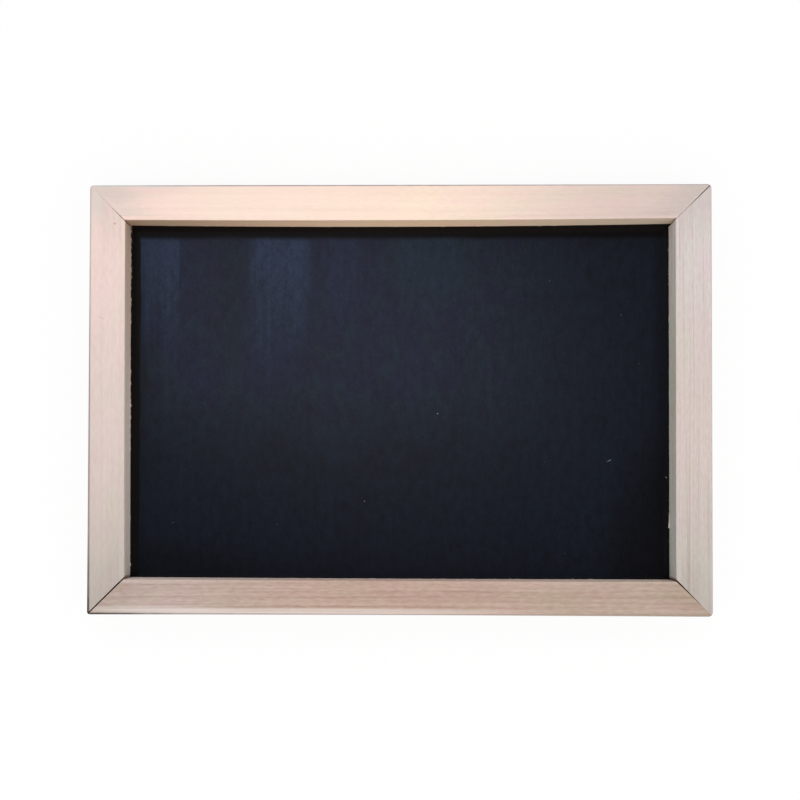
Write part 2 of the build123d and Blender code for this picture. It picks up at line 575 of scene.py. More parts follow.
def buildMouldingTree():
    tree, given, made = newTree(
        "mouldingSide",
        "GeometryNodeTree",
        {
            "Geometry": ["Section"],
            "Int": ["Steps"],
            "Float": [
                "Length", "Half Span", "Width", "Depth", "Lip Back", "Turn", "Seed",
                "Left Gap Outer", "Left Gap Inner", "Right Gap Outer", "Right Gap Inner",
                "Left Radius", "Right Radius", *section["mitre"], *section["tip"],
                "Inner Shift", "Inner Skew", "Inner Bow", "Outer Bow",
                "Lip Lean", "Lip Bow", "Tear Depth", "Tear Length",
            ],
            "Vector": ["Trim"],
            "Material": ["Material"],
        },
        {"Geometry": ["Side"]},
    )

    def stored(geometry, name, value):
        values = {"Geometry": geometry, "Name": name, "Value": value}
        return output("GeometryNodeStoreNamedAttribute", values, data_type="FLOAT", domain="POINT")

    def named(name):
        return output("GeometryNodeInputNamedAttribute", {"Name": name}, data_type="FLOAT")

    drawn = split(output("GeometryNodeInputPosition"))
    profile = stored(stored(given["Section"], "across", drawn[0]), "rise", drawn[1])
    profileCurve = output("GeometryNodeMeshToCurve", {"Mesh": profile})
    line = output("GeometryNodeCurvePrimitiveLine", {"End": (1.0, 0.0, 0.0)})
    path = output("GeometryNodeResampleCurve", {"Curve": line, "Count": given["Steps"]})
    path = stored(path, "along", add("GeometryNodeSplineParameter").outputs["Factor"])
    values = {"Curve": path, "Profile Curve": profileCurve, "Fill Caps": True}
    swept = output("GeometryNodeCurveToMesh", values)

    rise = named("rise")
    along = named("along")
    half = product(given["Length"], 0.5)
    inside = calc("DIVIDE", named("across"), given["Width"])  # 0 at the outer face, 1 at the opening
    lower = fade(rise, given["Depth"], given["Lip Back"])  # 0 at the front of the lip, 1 at its back
    atLip = calc("POWER", inside, section["lipPower"])
    eased = product(given["Inner Shift"], calc("POWER", inside, section["shiftPower"]))
    across = total(named("across"), eased, product(given["Lip Lean"], atLip, lower))

    tip = fade(inside, 0.0, given["Tip Reach"], given["Tip Depth"], 1.0)
    gapFoot = less(given["Depth"], product(given["Gap Depth"], tip))
    opened = fade(rise, gapFoot, given["Depth"])
    jagged = noise(joined(inside, given["Seed"], 0.0), section["gapGrain"])
    uneven = centred(jagged, given["Gap Roughness"])

    def mitreEnd(hand):  # how far the cut end is from the middle of the side
        gap = between(inside, given[hand + " Gap Outer"], given[hand + " Gap Inner"])
        gap = product(opened, total(gap, uneven))
        return less(half, total(across, calc("MAXIMUM", gap, given["Closed Gap"])))

    x = between(along, product(mitreEnd("Left"), -1.0), mitreEnd("Right"))
    arch = product(along, less(1.0, along), 4.0)  # 1 in the middle, 0 at the mitres
    skew = product(given["Inner Skew"], less(0.5, along), inside)
    bow = total(
        product(given["Inner Bow"], inside),
        product(given["Outer Bow"], less(1.0, inside)),
        product(given["Lip Bow"], atLip, lower),
    )
    tornTop = total(given["Lip Back"], section["tornRise"] * mm)
    tornEdge = fade(inside, section["tornFrom"], 1.0)
    tornEdge = product(tornEdge, fade(rise, tornTop, given["Lip Back"]))
    tearPlace = joined(calc("DIVIDE", x, given["Tear Length"]), 0.0, 0.0)
    tears = noise(tearPlace, 1.0, section["tornDetail"], given["Seed"])
    tears = fade(tears, *section["tornLimits"])
    torn = product(tornEdge, tears, given["Tear Depth"])
    inward = total(across, skew, product(arch, bow), torn)

    # The outer corner: a square patch as wide as the radius is drawn into a quarter circle
    radius = between(along, given["Left Radius"], given["Right Radius"])
    offMiddle = calc("ABSOLUTE", x)
    inEnd = calc("MAXIMUM", less(radius, less(half, offMiddle)), 0.0)
    inFace = calc("MAXIMUM", less(radius, inward), 0.0)
    twice = product(radius, radius, 2.0)

    def drawnIn(own, other):
        share = calc("DIVIDE", product(other, other), twice)
        return product(own, less(1.0, calc("SQRT", less(1.0, share))))

    finalX = product(less(offMiddle, drawnIn(inEnd, inFace)), calc("SIGN", x))
    finalY = less(given["Half Span"], total(inward, drawnIn(inFace, inEnd)))
    values = {"Vector": joined(finalX, finalY, rise), "Angle": given["Turn"]}
    turned = output("ShaderNodeVectorRotate", values, rotation_type="Z_AXIS")
    values = {"Geometry": swept, "Position": scaled(turned, given["Trim"])}
    finishTree(output("GeometryNodeSetPosition", values), given["Material"], made["Side"])
    return tree


slotSet = {"merge": 0.01, "foot": 0.1, "through": 1.0}  # mm


def cutNailSlots(piece, corner):  # the slots of a corner's V-nails, open at the back
    shape = bmesh.new()
    shape.from_mesh(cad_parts["v_nails_" + corner].data)
    bmesh.ops.remove_doubles(shape, verts=shape.verts, dist=slotSet["merge"] * mm)
    footLevel = min(vertex.co.z for vertex in shape.verts) + slotSet["foot"] * mm
    for vertex in shape.verts:
        if vertex.co.z < footLevel:
            vertex.co.z = -slotSet["through"] * mm
    cutter = placed("nailSlot", meshOf(shape, "nailSlot"))
    slotCut = piece.modifiers.new("nailSlot", "BOOLEAN")
    slotCut.object = cutter
    slotCut.operation = "DIFFERENCE"
    slotCut.solver = "EXACT"
    keepResult(piece, slotCut)
    bpy.data.objects.remove(cutter)


# Gaps, radii, shifts and tears in mm. A side's corners are left and right with that side turned to the top.
mitres = {
    "top_left": {"Gap Outer": -0.2, "Gap Inner": 0.16, "Radius": 1.9},
    "top_right": {"Gap Outer": 0.4, "Gap Inner": -0.13, "Radius": 2.3},
    "bottom_left": {"Gap Outer": 0.45, "Gap Inner": 0.92, "Radius": 1.5},
    "bottom_right": {"Gap Outer": -0.2, "Gap Inner": 0.55, "Radius": 2.5},
}
# Each side's pale and dark colours hold its wood tone. The top rail and stiles are one pale wood, and their
# colours also hold painted light: the top rail lightest, the right stile greyest.
sides = {
    "top_rail": {
        "turn": 0.0,
        "corners": ("top_left", "top_right"),
        "slot": "pale_wood",
        "opening": {"Inner Shift": -0.84, "Inner Skew": 0.44, "Inner Bow": 0.65, "Outer Bow": 0.12},
        "lip": {"Lip Lean": -0.45, "Lip Bow": 0.48, "Tear Depth": 0.2, "Tear Length": 5.0},
        "look": {
            "pale": (0.935, 0.745, 0.62),
            "dark": (0.775, 0.61, 0.5),
            "lightFalloff": [(0.955, 0.91, 0.99), (1.0, 1.0, 1.005), (0.735, 0.74, 0.815)],  # painted light falling off along the side: start, middle and end
            # painted light and shade on the sides of the opening: start, middle and end
            "revealShading": [(0.5, 0.455, 0.345), (0.89, 0.79, 0.66), (1.0, 1.0, 0.835)],
            # painted shade along the outer front edge: start, middle and end
            "edges": [(0.55, 0.54, 0.52), (0.27, 0.22, 0.24), (0.46, 0.41, 0.39)],
            "middle": (-0.1, 0.0),  # where along the side the middle colour is whole
            "joint": (0.835, 0.91, 0.92),
            "edgeReach": (1.3, 1.35),  # mm, from the start to the middle
            "lines": {"Line Spacing": 2.6, "Line Wander": 9.0},  # mm
            "grain": {"Lines": 0.12, "Streaks": 0.7, "Tone": 0.7, "Dashes": 0.85, "Seed": 3.1},
            "marks": [
                mark((128.0, 190.0), (34.0, 8.0), (0.655, 0.54, 0.495), 0.75),
                mark((165.0, 186.5), (30.0, 2.2), (0.66, 0.6, 0.56), 0.6),
                mark((255.0, 203.0), (75.0, 14.0), (0.87, 0.715, 0.615), 0.8),
                mark((330.0, 189.0), (95.0, 4.0), (0.84, 0.64, 0.56), 0.4),
                mark((640.0, 212.0), (40.0, 0.7), (0.6, 0.43, 0.33), 0.4, tilt=0.5, depth=0.3),
            ],
        },
    },
    "left_stile": {
        "turn": 0.5 * math.pi,
        "corners": ("bottom_left", "top_left"),
        "slot": "pale_wood",
        "opening": {"Inner Shift": 0.09, "Inner Skew": 0.9, "Inner Bow": -0.1, "Outer Bow": 0.0},
        "lip": {"Lip Lean": -0.45, "Lip Bow": 0.1, "Tear Depth": 0.65, "Tear Length": 3.0},
        "look": {
            "pale": (0.8, 0.635, 0.575),
            "dark": (0.68, 0.53, 0.475),
            "lightFalloff": [(0.59, 0.665, 0.665), (0.815, 0.855, 0.893), (0.985, 0.995, 1.01)],
            "revealShading": [(1.13, 1.15, 1.15), (1.03, 1.07, 1.02), (0.77, 0.72, 0.62)],
            "edges": [(0.05, 0.03, 0.035), (0.28, 0.22, 0.21), (0.46, 0.41, 0.38)],
            "middle": (-0.1, -0.25),
            "joint": (0.92, 0.92, 0.92),
            "edgeReach": (1.7, 1.15),
            "lines": {"Line Spacing": 1.5, "Line Wander": 3.0},
            "grain": {"Lines": 0.15, "Streaks": 0.6, "Tone": 0.5, "Dashes": 1.3, "Seed": 8.4},
            "marks": [
                mark((97.0, 200.0), (7.0, 16.0), (0.7, 0.61, 0.565), 0.8),
                mark((114.5, 223.5), (0.95, 0.8), (0.3, 0.16, 0.11), 0.6, depth=2.5),
                mark((101.5, 317.5), (2.6, 0.5), (0.42, 0.3, 0.25), 0.45, core=0.3, tilt=-22.0, depth=2.0),
            ],
        },
    },
    "bottom_rail": {
        "turn": math.pi,
        "corners": ("bottom_right", "bottom_left"),
        "slot": "brown_wood",
        "opening": {"Inner Shift": -0.56, "Inner Skew": -0.35, "Inner Bow": -0.2, "Outer Bow": 0.3},
        "lip": {"Lip Lean": 0.0, "Lip Bow": 0.0, "Tear Depth": 0.2, "Tear Length": 5.0},
        "look": {
            "pale": (0.5, 0.367, 0.306),
            "dark": (0.345, 0.225, 0.175),
            "lightFalloff": [(1.02, 1.15, 1.26), (1.0, 1.0, 1.0), (0.95, 1.02, 1.02)],
            "revealShading": [(1.6, 1.7, 1.8), (1.6, 1.7, 1.8), (1.6, 1.7, 1.8)],
            "edges": [(0.03, 0.025, 0.02), (0.34, 0.285, 0.265), (0.33, 0.28, 0.24)],
            "middle": (-0.1, 0.0),
            "joint": (0.9, 0.88, 0.86),
            "edgeReach": (1.7, 1.3),
            "lines": {"Line Spacing": 1.4, "Line Wander": 6.0},
            "grain": {"Lines": 0.2, "Streaks": 1.7, "Tone": 0.5, "Dashes": 1.2, "Seed": 5.7},
            "marks": [
                mark((150.0, 610.0), (62.0, 3.2), (0.66, 0.595, 0.56), 0.88, core=0.3),
                mark((320.0, 611.5), (140.0, 2.6), (0.66, 0.565, 0.52), 0.88, core=0.3, tilt=0.2),
            ],
        },
    },
    "right_stile": {
        "turn": -0.5 * math.pi,
        "corners": ("top_right", "bottom_right"),
        "slot": "pale_wood",
        "opening": {"Inner Shift": 0.0, "Inner Skew": 0.0, "Inner Bow": 0.0, "Outer Bow": 0.0},
        "lip": {"Lip Lean": 0.15, "Lip Bow": 0.0, "Tear Depth": 0.3, "Tear Length": 6.0},
        "look": {
            "pale": (0.66, 0.575, 0.545),
            "dark": (0.51, 0.41, 0.38),
            "lightFalloff": [(0.755, 0.81, 0.79), (0.95, 0.965, 0.96), (1.005, 1.05, 1.09)],
            "revealShading": [(1.06, 1.14, 1.18), (0.91, 1.02, 0.97), (1.03, 1.1, 1.04)],
            "edges": [(0.42, 0.36, 0.37), (0.5, 0.42, 0.45), (0.5, 0.42, 0.45)],
            "middle": (-0.1, 0.0),
            "joint": (0.92, 0.91, 0.9),
            "edgeReach": (0.7, 0.7),
            "lines": {"Line Spacing": 0.9, "Line Wander": 2.5},
            "grain": {"Lines": 0.65, "Streaks": 0.7, "Tone": 0.4, "Dashes": 1.0, "Seed": 12.9},
            "marks": [mark((710.5, 590.0), (2.6, 34.0), (0.53, 0.485, 0.45), 0.9)],
        },
    },
}

mouldingTree = buildMouldingTree()
mouldingSection = sectionMesh()
woods = {}
for node, side in sides.items():
    upright = node.endswith("stile")
    length = 2 * (halfHeight if upright else halfWidth)
    woods[node] = woodMaterial(node + "_wood", side["look"], upright)
    sizes = {**section["mitre"], **side["opening"], **side["lip"]}
    for hand, corner in zip(("Left", "Right"), side["corners"]):
        for name, size in mitres[corner].items():
            sizes[hand + " " + name] = size
    values = {
        "Length": length,
        "Half Span": halfWidth if upright else halfHeight,
        "Width": mouldingWidth,
        "Depth": boardDepth,
        "Lip Back": lipBack,
        "Steps": round(length / (section["step"] * mm)),
        **inMetres(sizes),
        **section["tip"],
        "Seed": side["look"]["grain"]["Seed"],
        "Turn": side["turn"],
        "Trim": section["trim"],
        "Material": woods[node],
    }
    moulding = growPiece(node + "_moulding", mouldingSection, mouldingTree, values)
    pointsOutward(moulding.data)
    for corner in side["corners"]:
        cutNailSlots(moulding, corner)
    settle(moulding, [node])
    print(moulding.name, len(moulding.data.polygons), "faces")


# Torn fibres along the back edge of the lip, where the rebate was cut
fibreSet = {
    "thickness": 0.14,  # mm
    "endRoom": 2.0,  # mm that stay free at each end of a lip
    "level": (0.15, 1.3),  # mm above the panel
    "crowded": 0.5,  # share of them in the dense stretch
    "out": (-0.6, -0.08),  # their way out from the lip, and upwards
    "up": (0.0, 0.3),
    "thin": (0.5, 1.0),  # share of the thickness
    "short": (0.25, 1.0),  # share of the longest
    "cone": {"Vertices": 5, "Side Segments": 2, "Radius Top": 0.15, "Radius Bottom": 1.0, "Depth": 1.0},
    "sides": {  # mm
        "top_rail": {"count": 26, "longest": 1.6, "densePlace": 45.0, "denseWidth": 60.0, "seed": 11},
        "left_stile": {"count": 70, "longest": 2.2, "densePlace": 70.0, "denseWidth": 50.0, "seed": 23},
        "bottom_rail": {"count": 12, "longest": 1.2, "densePlace": 0.0, "denseWidth": 200.0, "seed": 37},
        "right_stile": {"count": 26, "longest": 1.8, "densePlace": 40.0, "denseWidth": 60.0, "seed": 41},
    },
}


def buildFibreTree():
    lengths = ["Length", "Edge", "Bow", "Level", "Longest", "Thickness", "Dense Place", "Dense Width"]
    tree, given, made = newTree(
        "lipFibres",
        "GeometryNodeTree",
        {
            "Geometry": ["Base"],
            "Int": ["Count", "Seed"],
            "Float": [*lengths, "Turn"],
            "Material": ["Material"],
        },
        {"Geometry": ["Fibres"]},
    )

    def chance(low, high, draw):
        values = {"Seed": total(given["Seed"], draw), 2: low, 3: high}  # the limits of a plain number
        return add("FunctionNodeRandomValue", values, data_type="FLOAT").outputs[1]

    anywhere = product(given["Length"], chance(-0.5, 0.5, 1.0))
    crowded = total(given["Dense Place"], product(given["Dense Width"], chance(-0.5, 0.5, 2.0)))
    pick = calc("LESS_THAN", chance(0.0, 1.0, 3.0), fibreSet["crowded"])
    x = between(pick, anywhere, crowded)
    share = calc("DIVIDE", product(x, 2.0), given["Length"])
    arch = less(1.0, product(share, share))
    edge = less(given["Edge"], product(given["Bow"], arch))
    low, high = fibreSet["level"]
    place = joined(x, edge, total(given["Level"], chance(low * mm, high * mm, 4.0)))
    points = output("GeometryNodePoints", {"Count": given["Count"], "Position": place})
    leftOrRight = calc("SIGN", chance(-1.0, 1.0, 5.0))
    way = joined(leftOrRight, chance(*fibreSet["out"], 6.0), chance(*fibreSet["up"], 7.0))
    thick = product(given["Thickness"], chance(*fibreSet["thin"], 8.0))
    values = {
        "Points": points,
        "Instance": output("GeometryNodeMeshCone", fibreSet["cone"]),
        "Rotation": output("FunctionNodeAlignRotationToVector", {"Vector": way}, axis="Z"),
        "Scale": joined(thick, thick, product(given["Longest"], chance(*fibreSet["short"], 9.0))),
    }
    spread = output("GeometryNodeInstanceOnPoints", values)
    turned = output("GeometryNodeTransform", {"Geometry": spread, "Rotation": spin(given["Turn"])})
    finishTree(turned, given["Material"], made["Fibres"])
    return tree


fibreTree = buildFibreTree()
for node, fibre in fibreSet["sides"].items():
    side = sides[node]
    upright = node.endswith("stile")
    lipEdge = sightX if upright else sightY * section["trim"][1]
    values = {
        "Length": 2 * ((sightY if upright else sightX) - fibreSet["endRoom"] * mm),
        "Edge": lipEdge - (side["lip"]["Lip Lean"] + side["opening"]["Inner Shift"]) * mm,
        "Bow": (side["opening"]["Inner Bow"] + side["lip"]["Lip Bow"]) * mm,
        "Level": panelFace,
        "Count": fibre["count"],
        "Longest": fibre["longest"] * mm,
        "Thickness": fibreSet["thickness"] * mm,
        "Dense Place": fibre["densePlace"] * mm,
        "Dense Width": fibre["denseWidth"] * mm,
        "Seed": fibre["seed"],
        "Turn": side["turn"],
        "Material": woods[node],
    }
    fibres = growPiece(node + "_fibres", bpy.data.meshes.new("fibres"), fibreTree, values)
    pointsOutward(fibres.data)
    settle(fibres)
print("lip fibres made")


# A splinter that has lifted from the lip of the right stile
splinterSet = {
    "from": (668.9, 513.0),  # pixels of its two ends
    "to": (668.9, 528.0),
    "lift": 0.42,  # mm, how far its loose end stands out
    "foot": 0.15,  # above the panel
    "thickness": 0.5,
    "thinnest": 0.4,  # share of the thickness where it leaves the lip
    "root": 0.9,  # depth that stays in the lip
    "topOut": 0.7,  # share of the lift at its upper edge
    "stations": (0.0, 0.3, 0.6, 0.85, 0.97, 1.0),
    "spread": (0.0, 0.1, 0.35, 0.75, 1.0, 0.9),
    "sharpAngle": 30.0,
}


def makeSplinter():
    start = pointAtLevel(splinterSet["from"], panelFace)
    end = pointAtLevel(splinterSet["to"], panelFace)
    foot = panelFace + splinterSet["foot"] * mm
    thinnest = splinterSet["thinnest"]
    shape = bmesh.new()
    rings = []
    for station, spread in zip(splinterSet["stations"], splinterSet["spread"]):
        middle = start.lerp(end, station)
        out = splinterSet["lift"] * spread * mm
        top = foot + splinterSet["thickness"] * (thinnest + (1.0 - thinnest) * spread) * mm
        back = middle.x + splinterSet["root"] * mm
        topEdge = middle.x - splinterSet["topOut"] * out
        corners = [(back, foot), (middle.x - out, foot), (topEdge, top), (back, top)]
        rings.append([shape.verts.new((x, middle.y, z)) for x, z in corners])
    for first, second in zip(rings, rings[1:]):
        for number in range(len(first)):
            shape.faces.new((first[number - 1], first[number], second[number], second[number - 1]))
    shape.faces.new(rings[0])
    shape.faces.new(rings[-1])
    mesh = meshOf(shape, "right_lip_splinter")
    mesh.materials.append(woods["right_stile"])
    pointsOutward(mesh, splinterSet["sharpAngle"])
    settle(placed("right_lip_splinter", mesh))


makeSplinter()
print("splinter made")


# Panel: a hardboard sheet with a black writing coat rolled on its face
panelSet = {
    "coat": 0.2,  # mm, thickness of the coat
    "coatEasing": 0.05,  # rounding of its edges
    "easing": 0.1,  # rounding of the sheet's edges
    "noises": {  # scale per metre across, upwards and through, detail, seed
        "grit": ((750.0, 500.0, 0.0), 3.0, 0.0),
        "blotches": ((260.0, 150.0, 0.0), 4.0, 1.0),
        "clouds": ((45.0, 22.0, 0.0), 3.0, 0.0),
        "hue": ((85.0, 65.0, 0.0), 2.0, 9.0),
        "rub": ((420.0, 9.0, 0.0), 3.0, 4.0),  # differs from streak to streak
        "edge": (60.0, 3.0, 0.0),
    },
    "texture": {"rub": 0.25, "clouds": 0.35, "blotches": 1.4, "grit": 1.2},  # how far each changes the film
    "rubAcross": 7.0,  # mm that the streaks shift a band
    "rubDown": 45.0,
    "cloudDown": 40.0,
    "edgeWander": 2.0,
    "black": (0.0021, 0.0014, 0.002),
    "paintedSheen": (0.0115, 0.0212, 0.0388),  # painted sheen, a reflection of light laid into the coat's colour, where it is strongest
    "violetSheen": (0.0115, 0.016, 0.0388),  # the hue that it drifts to
    "violetFrom": (0.95, 1.1),
    "violetThins": (0.6, 0.95, 1.0, 0.5),  # two limits of the painted sheen, the share of violet at each
    "bluePlace": (17.0, 80.0),  # mm, an oval where it stays blue
    "blueSize": (34.0, 42.0),
    "blueRim": (0.5, 1.0),
    "thin": 0.28,  # share of that painted sheen over the whole face
    "lowFade": (-94.0, -45.0),  # mm, where it thins out downwards
    "lowShare": 0.8,
    "thick": 0.3,  # what is added in the upper left
    "thickFoot": (-38.0, 20.0),
    "thickLeft": (-141.0, -124.0),
    "thickRight": (115.0, 15.0),
    "bands": [  # streaks of the painted sheen, running downwards: middle, width and lower end in mm, strength, softness of its edges
        (-133.0, 30.0, 14.0, 0.72, 0.1),
        (-140.0, 12.0, 14.0, 0.28, 0.3),
        (-117.8, 1.0, 0.0, -0.32, 0.3),
        (-90.0, 14.0, -15.0, -0.12, 0.2),
        (-64.0, 30.0, 8.0, 0.74, 0.16),
        (-31.0, 18.0, 14.0, 0.22, 0.2),
        (16.0, 30.0, 35.0, 0.14, 0.2),
    ],
    "bandFade": 78.0,  # mm over which a band thins out
    "dimCorners": [  # corners where the painted sheen falls off: middle and half size in mm, share that stays
        ((146.0, -96.0), (40.0, 90.0), 0.36),
        ((-140.0, -96.0), (75.0, 24.0), 0.62),
    ],
    "dimRim": (0.5, 1.15),
    "haze": (0.0062, 0.006, 0.0062),  # painted sheen, grey, strongest left of the middle
    "hazePlace": (-44.4, 47.9),
    "hazeSize": (232.0, 153.0),
    "hazeTilt": -12.7,  # degrees
    "hazeCore": 0.13,
    "lipShadeLeft": (4.1, 5.2),  # mm from the lip: painted lip shade with no sheen, whole sheen
    "lipShadeTop": (4.6, 7.8),
    "lipShadeRight": (-8.0, 11.0),
    "lowLipLight": 0.4,  # more painted sheen beside the lower lip, painted light against the lip's own shade
    "lowLipWidth": 9.0,
    "rough": 0.2,
    "roughSwing": 0.06,
    "bump": (0.02, 0.25),  # mm, strength
    "specular": 0.156,
}


def makeSlab(name, low, high, easing, material):
    shape = bmesh.new()
    bmesh.ops.create_cube(shape, size=1.0)
    for vertex in shape.verts:
        vertex.co = vertex.co * (high - low) + (low + high) / 2
    bmesh.ops.bevel(shape, geom=shape.edges, offset=easing * mm, segments=2, affect="EDGES")
    mesh = meshOf(shape, name)
    mesh.materials.append(material)
    return placed(name, mesh)


def coatMaterial():
    material, shader = newMaterial("black_writing_coat")
    vector = objectVector()
    x, y = split(vector)[:2]
    layers = {name: noise(vector, *values) for name, values in panelSet["noises"].items()}

    def swing(name, setting):  # a layer's swing by a setting in mm
        return centred(layers[name], panelSet[setting] * mm)

    def oval(middle, size, tilt=0.0):
        return ovalReach(vector, Vector(middle) * mm, size, tilt)

    # The coat's colour carries a painted sheen: a bluish reflection of light, strongest in the upper left,
    # laid into the base colour with the coat's streaks and blotches
    rubbedX = total(x, swing("rub", "rubAcross"))
    cloudedY = total(y, swing("clouds", "cloudDown"))
    rubbedY = total(cloudedY, swing("rub", "rubDown"))
    thin = fadeMm(y, panelSet["lowFade"], panelSet["lowShare"] * panelSet["thin"], panelSet["thin"])
    thick = product(
        fadeMm(cloudedY, panelSet["thickFoot"]),
        fadeMm(rubbedX, panelSet["thickLeft"]),
        fadeMm(rubbedX, panelSet["thickRight"]),
    )
    paintedSheen = total(thin, product(thick, panelSet["thick"]))
    for middle, width, foot, strength, softness in panelSet["bands"]:
        off = calc("ABSOLUTE", less(rubbedX, middle * mm))
        across = fadeMm(off, ((0.5 + softness) * width, (0.5 - softness) * width))
        length = fadeMm(rubbedY, (foot, foot + panelSet["bandFade"]))
        paintedSheen = total(paintedSheen, product(across, length, strength))
    # Painted sheen weaker towards the lower corners
    for middle, size, share in panelSet["dimCorners"]:
        paintedSheen = product(paintedSheen, fade(oval(middle, size), *panelSet["dimRim"], share, 1.0))

    # Painted shade of the lips: no sheen close to the top and left lips, less beside the right one
    edgeWander = swing("edge", "edgeWander")
    fromBottom = total(y, sightY)
    clear = product(
        fadeMm(total(x, sightX, edgeWander), panelSet["lipShadeLeft"]),
        fadeMm(total(less(sightY, y), edgeWander), panelSet["lipShadeTop"]),
        fadeMm(less(sightX, x), panelSet["lipShadeRight"]),
        # painted light beside the lower lip, against its shade
        fadeMm(fromBottom, (panelSet["lowLipWidth"], 0.0), 1.0, 1.0 + panelSet["lowLipLight"]),
    )
    swings = [centred(layers[name], strength) for name, strength in panelSet["texture"].items()]
    violet = product(
        fade(oval(panelSet["bluePlace"], panelSet["blueSize"]), *panelSet["blueRim"]),
        fade(total(layers["hue"], paintedSheen), *panelSet["violetFrom"]),
        fade(paintedSheen, *panelSet["violetThins"]),
    )
    sheenColor = mixColor(violet, panelSet["paintedSheen"], panelSet["violetSheen"])
    share = calc("MAXIMUM", product(paintedSheen, clear, total(1.0, *swings)), 0.0)
    color = mixColor(share, panelSet["black"], sheenColor, clamped=False)
    # Painted sheen, grey, in a wide oval left of the middle
    reach = oval(panelSet["hazePlace"], panelSet["hazeSize"], panelSet["hazeTilt"])
    haze = product(fade(reach, 1.0, panelSet["hazeCore"]), clear)
    plug(shader["Base Color"], mixColor(haze, color, panelSet["haze"], "ADD"))
    roughSwings = [centred(layers[name], panelSet["roughSwing"]) for name in ("rub", "grit")]
    plug(shader["Roughness"], total(panelSet["rough"], *roughSwings))
    plug(shader["Normal"], bumped(layers["grit"], *panelSet["bump"]))
    shader["Specular IOR Level"].default_value = panelSet["specular"]
    return material


hardboardSet = {
    "dark": (0.1, 0.052, 0.026),
    "pale": (0.27, 0.155, 0.08),
    "fibres": (900.0, 4.0),  # noise scale per metre, detail
    "patches": (30.0, 3.0),
    "mesh": 2800.0,  # radians per metre, of the print of the press's mesh
    "patchTone": 0.6,
    "meshTone": 0.12,
    "rough": 0.62,
    "fibreRough": 0.3,
    "bump": (0.1, 0.6),  # mm, strength
}


def hardboardMaterial():
    material, shader = newMaterial("brown_hardboard")
    vector = objectVector()
    fibres = noise(vector, *hardboardSet["fibres"])
    patches = centred(noise(vector, *hardboardSet["patches"]), hardboardSet["patchTone"])
    waves = [calc("SINE", product(way, hardboardSet["mesh"])) for way in split(vector)[:2]]
    mesh = product(*waves)
    tone = total(fibres, patches, product(mesh, hardboardSet["meshTone"]))
    plug(shader["Base Color"], mixColor(tone, hardboardSet["dark"], hardboardSet["pale"]))
    fibreRough = centred(fibres, hardboardSet["fibreRough"])
    plug(shader["Roughness"], total(hardboardSet["rough"], fibreRough))
    plug(shader["Normal"], bumped(total(mesh, fibres), *hardboardSet["bump"]))
    return material


coatFoot = panelFace - panelSet["coat"] * mm
coatLow = Vector((panelLow.x, panelLow.y, coatFoot))
coat = makeSlab("panel_coat", coatLow, panelHigh, panelSet["coatEasing"], coatMaterial())
settle(coat, ["writing_panel"])
sheetHigh = Vector((panelHigh.x, panelHigh.y, coatFoot))
sheet = makeSlab("panel_hardboard", panelLow, sheetHigh, panelSet["easing"], hardboardMaterial())
settle(sheet, ["writing_panel"])
print("panel made")


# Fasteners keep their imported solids
steelSet = {
    "rolled": ((900.0, 900.0, 60.0), 2.0),  # noise scale per metre, detail
    "spots": (700.0, 4.0),
    "spotLimits": (0.6, 0.72),
    "dull": (0.48, 0.48, 0.49),
    "bright": (0.62, 0.62, 0.63),
    "tarnish": (0.2, 0.13, 0.09),
    "tarnishShare": 0.5,
    "rough": 0.3,
    "rolledRough": 0.15,
    "spotRough": 0.25,
    "bump": (0.02, 0.4),  # mm, strength
}


def steelMaterial():
    material, shader = newMaterial("fastener_steel_strip")
    vector = objectVector()
    rolled = noise(vector, *steelSet["rolled"])
    spots = fade(noise(vector, *steelSet["spots"]), *steelSet["spotLimits"])
    color = mixColor(rolled, steelSet["dull"], steelSet["bright"])
    tarnish = product(spots, steelSet["tarnishShare"])
    plug(shader["Base Color"], mixColor(tarnish, color, steelSet["tarnish"]))
    rolledRough = product(rolled, steelSet["rolledRough"])
    spotRough = product(spots, steelSet["spotRough"])
    plug(shader["Roughness"], total(steelSet["rough"], rolledRough, spotRough))
    plug(shader["Normal"], bumped(rolled, *steelSet["bump"]))
    shader["Metallic"].default_value = 1.0
    return material


steel = steelMaterial()
for name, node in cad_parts.items():
    if name.startswith(("v_nails", "panel_points")):
        node.data.materials.clear()
        node.data.materials.append(steel)
print("fasteners finished")


# Chalk and lint on the panel
fleckSet = {
    "thickness": 0.25,  # mm
    "rise": 0.35,  # share of it from the panel up to a fleck's middle
    "places": [  # pixel across, pixel down, length, width in mm, turn in degrees, whiteness
        (609.0, 460.6, 2.7, 0.17, 24.0, 0.9),
        (437.6, 413.6, 0.6, 0.5, 10.0, 0.7),
        (549.5, 281.0, 0.45, 0.4, 70.0, 0.12),
        (621.5, 315.0, 0.5, 0.4, 30.0, 0.15),
        (364.5, 501.2, 0.5, 0.45, -20.0, 0.5),
        (639.5, 363.5, 0.35, 0.3, 0.0, 0.05),
        (173.0, 522.5, 1.2, 0.22, 15.0, 0.05),
        (277.0, 524.0, 0.35, 0.3, 60.0, 0.08),
        (544.5, 462.0, 0.4, 0.3, 80.0, 0.05),
        (564.5, 553.5, 0.35, 0.3, 25.0, 0.08),
        (666.2, 477.5, 1.3, 0.6, -30.0, 0.15),
    ],
    "seed": 6.0,
    "lumps": (3.0, 2.0),  # noise scale per fleck, detail
    "lumpSizes": (0.2, 0.8, 0.55, 1.25),  # two limits of that noise, the size at each
    "sharpAngle": 60.0,
    "dull": (0.06, 0.06, 0.062),
    "white": (0.5, 0.5, 0.48),
    "grit": (4000.0, 2.0),  # noise scale per metre, detail
    "gritWhite": 0.3,
    "rough": 0.8,
    "gritRough": 0.2,
}


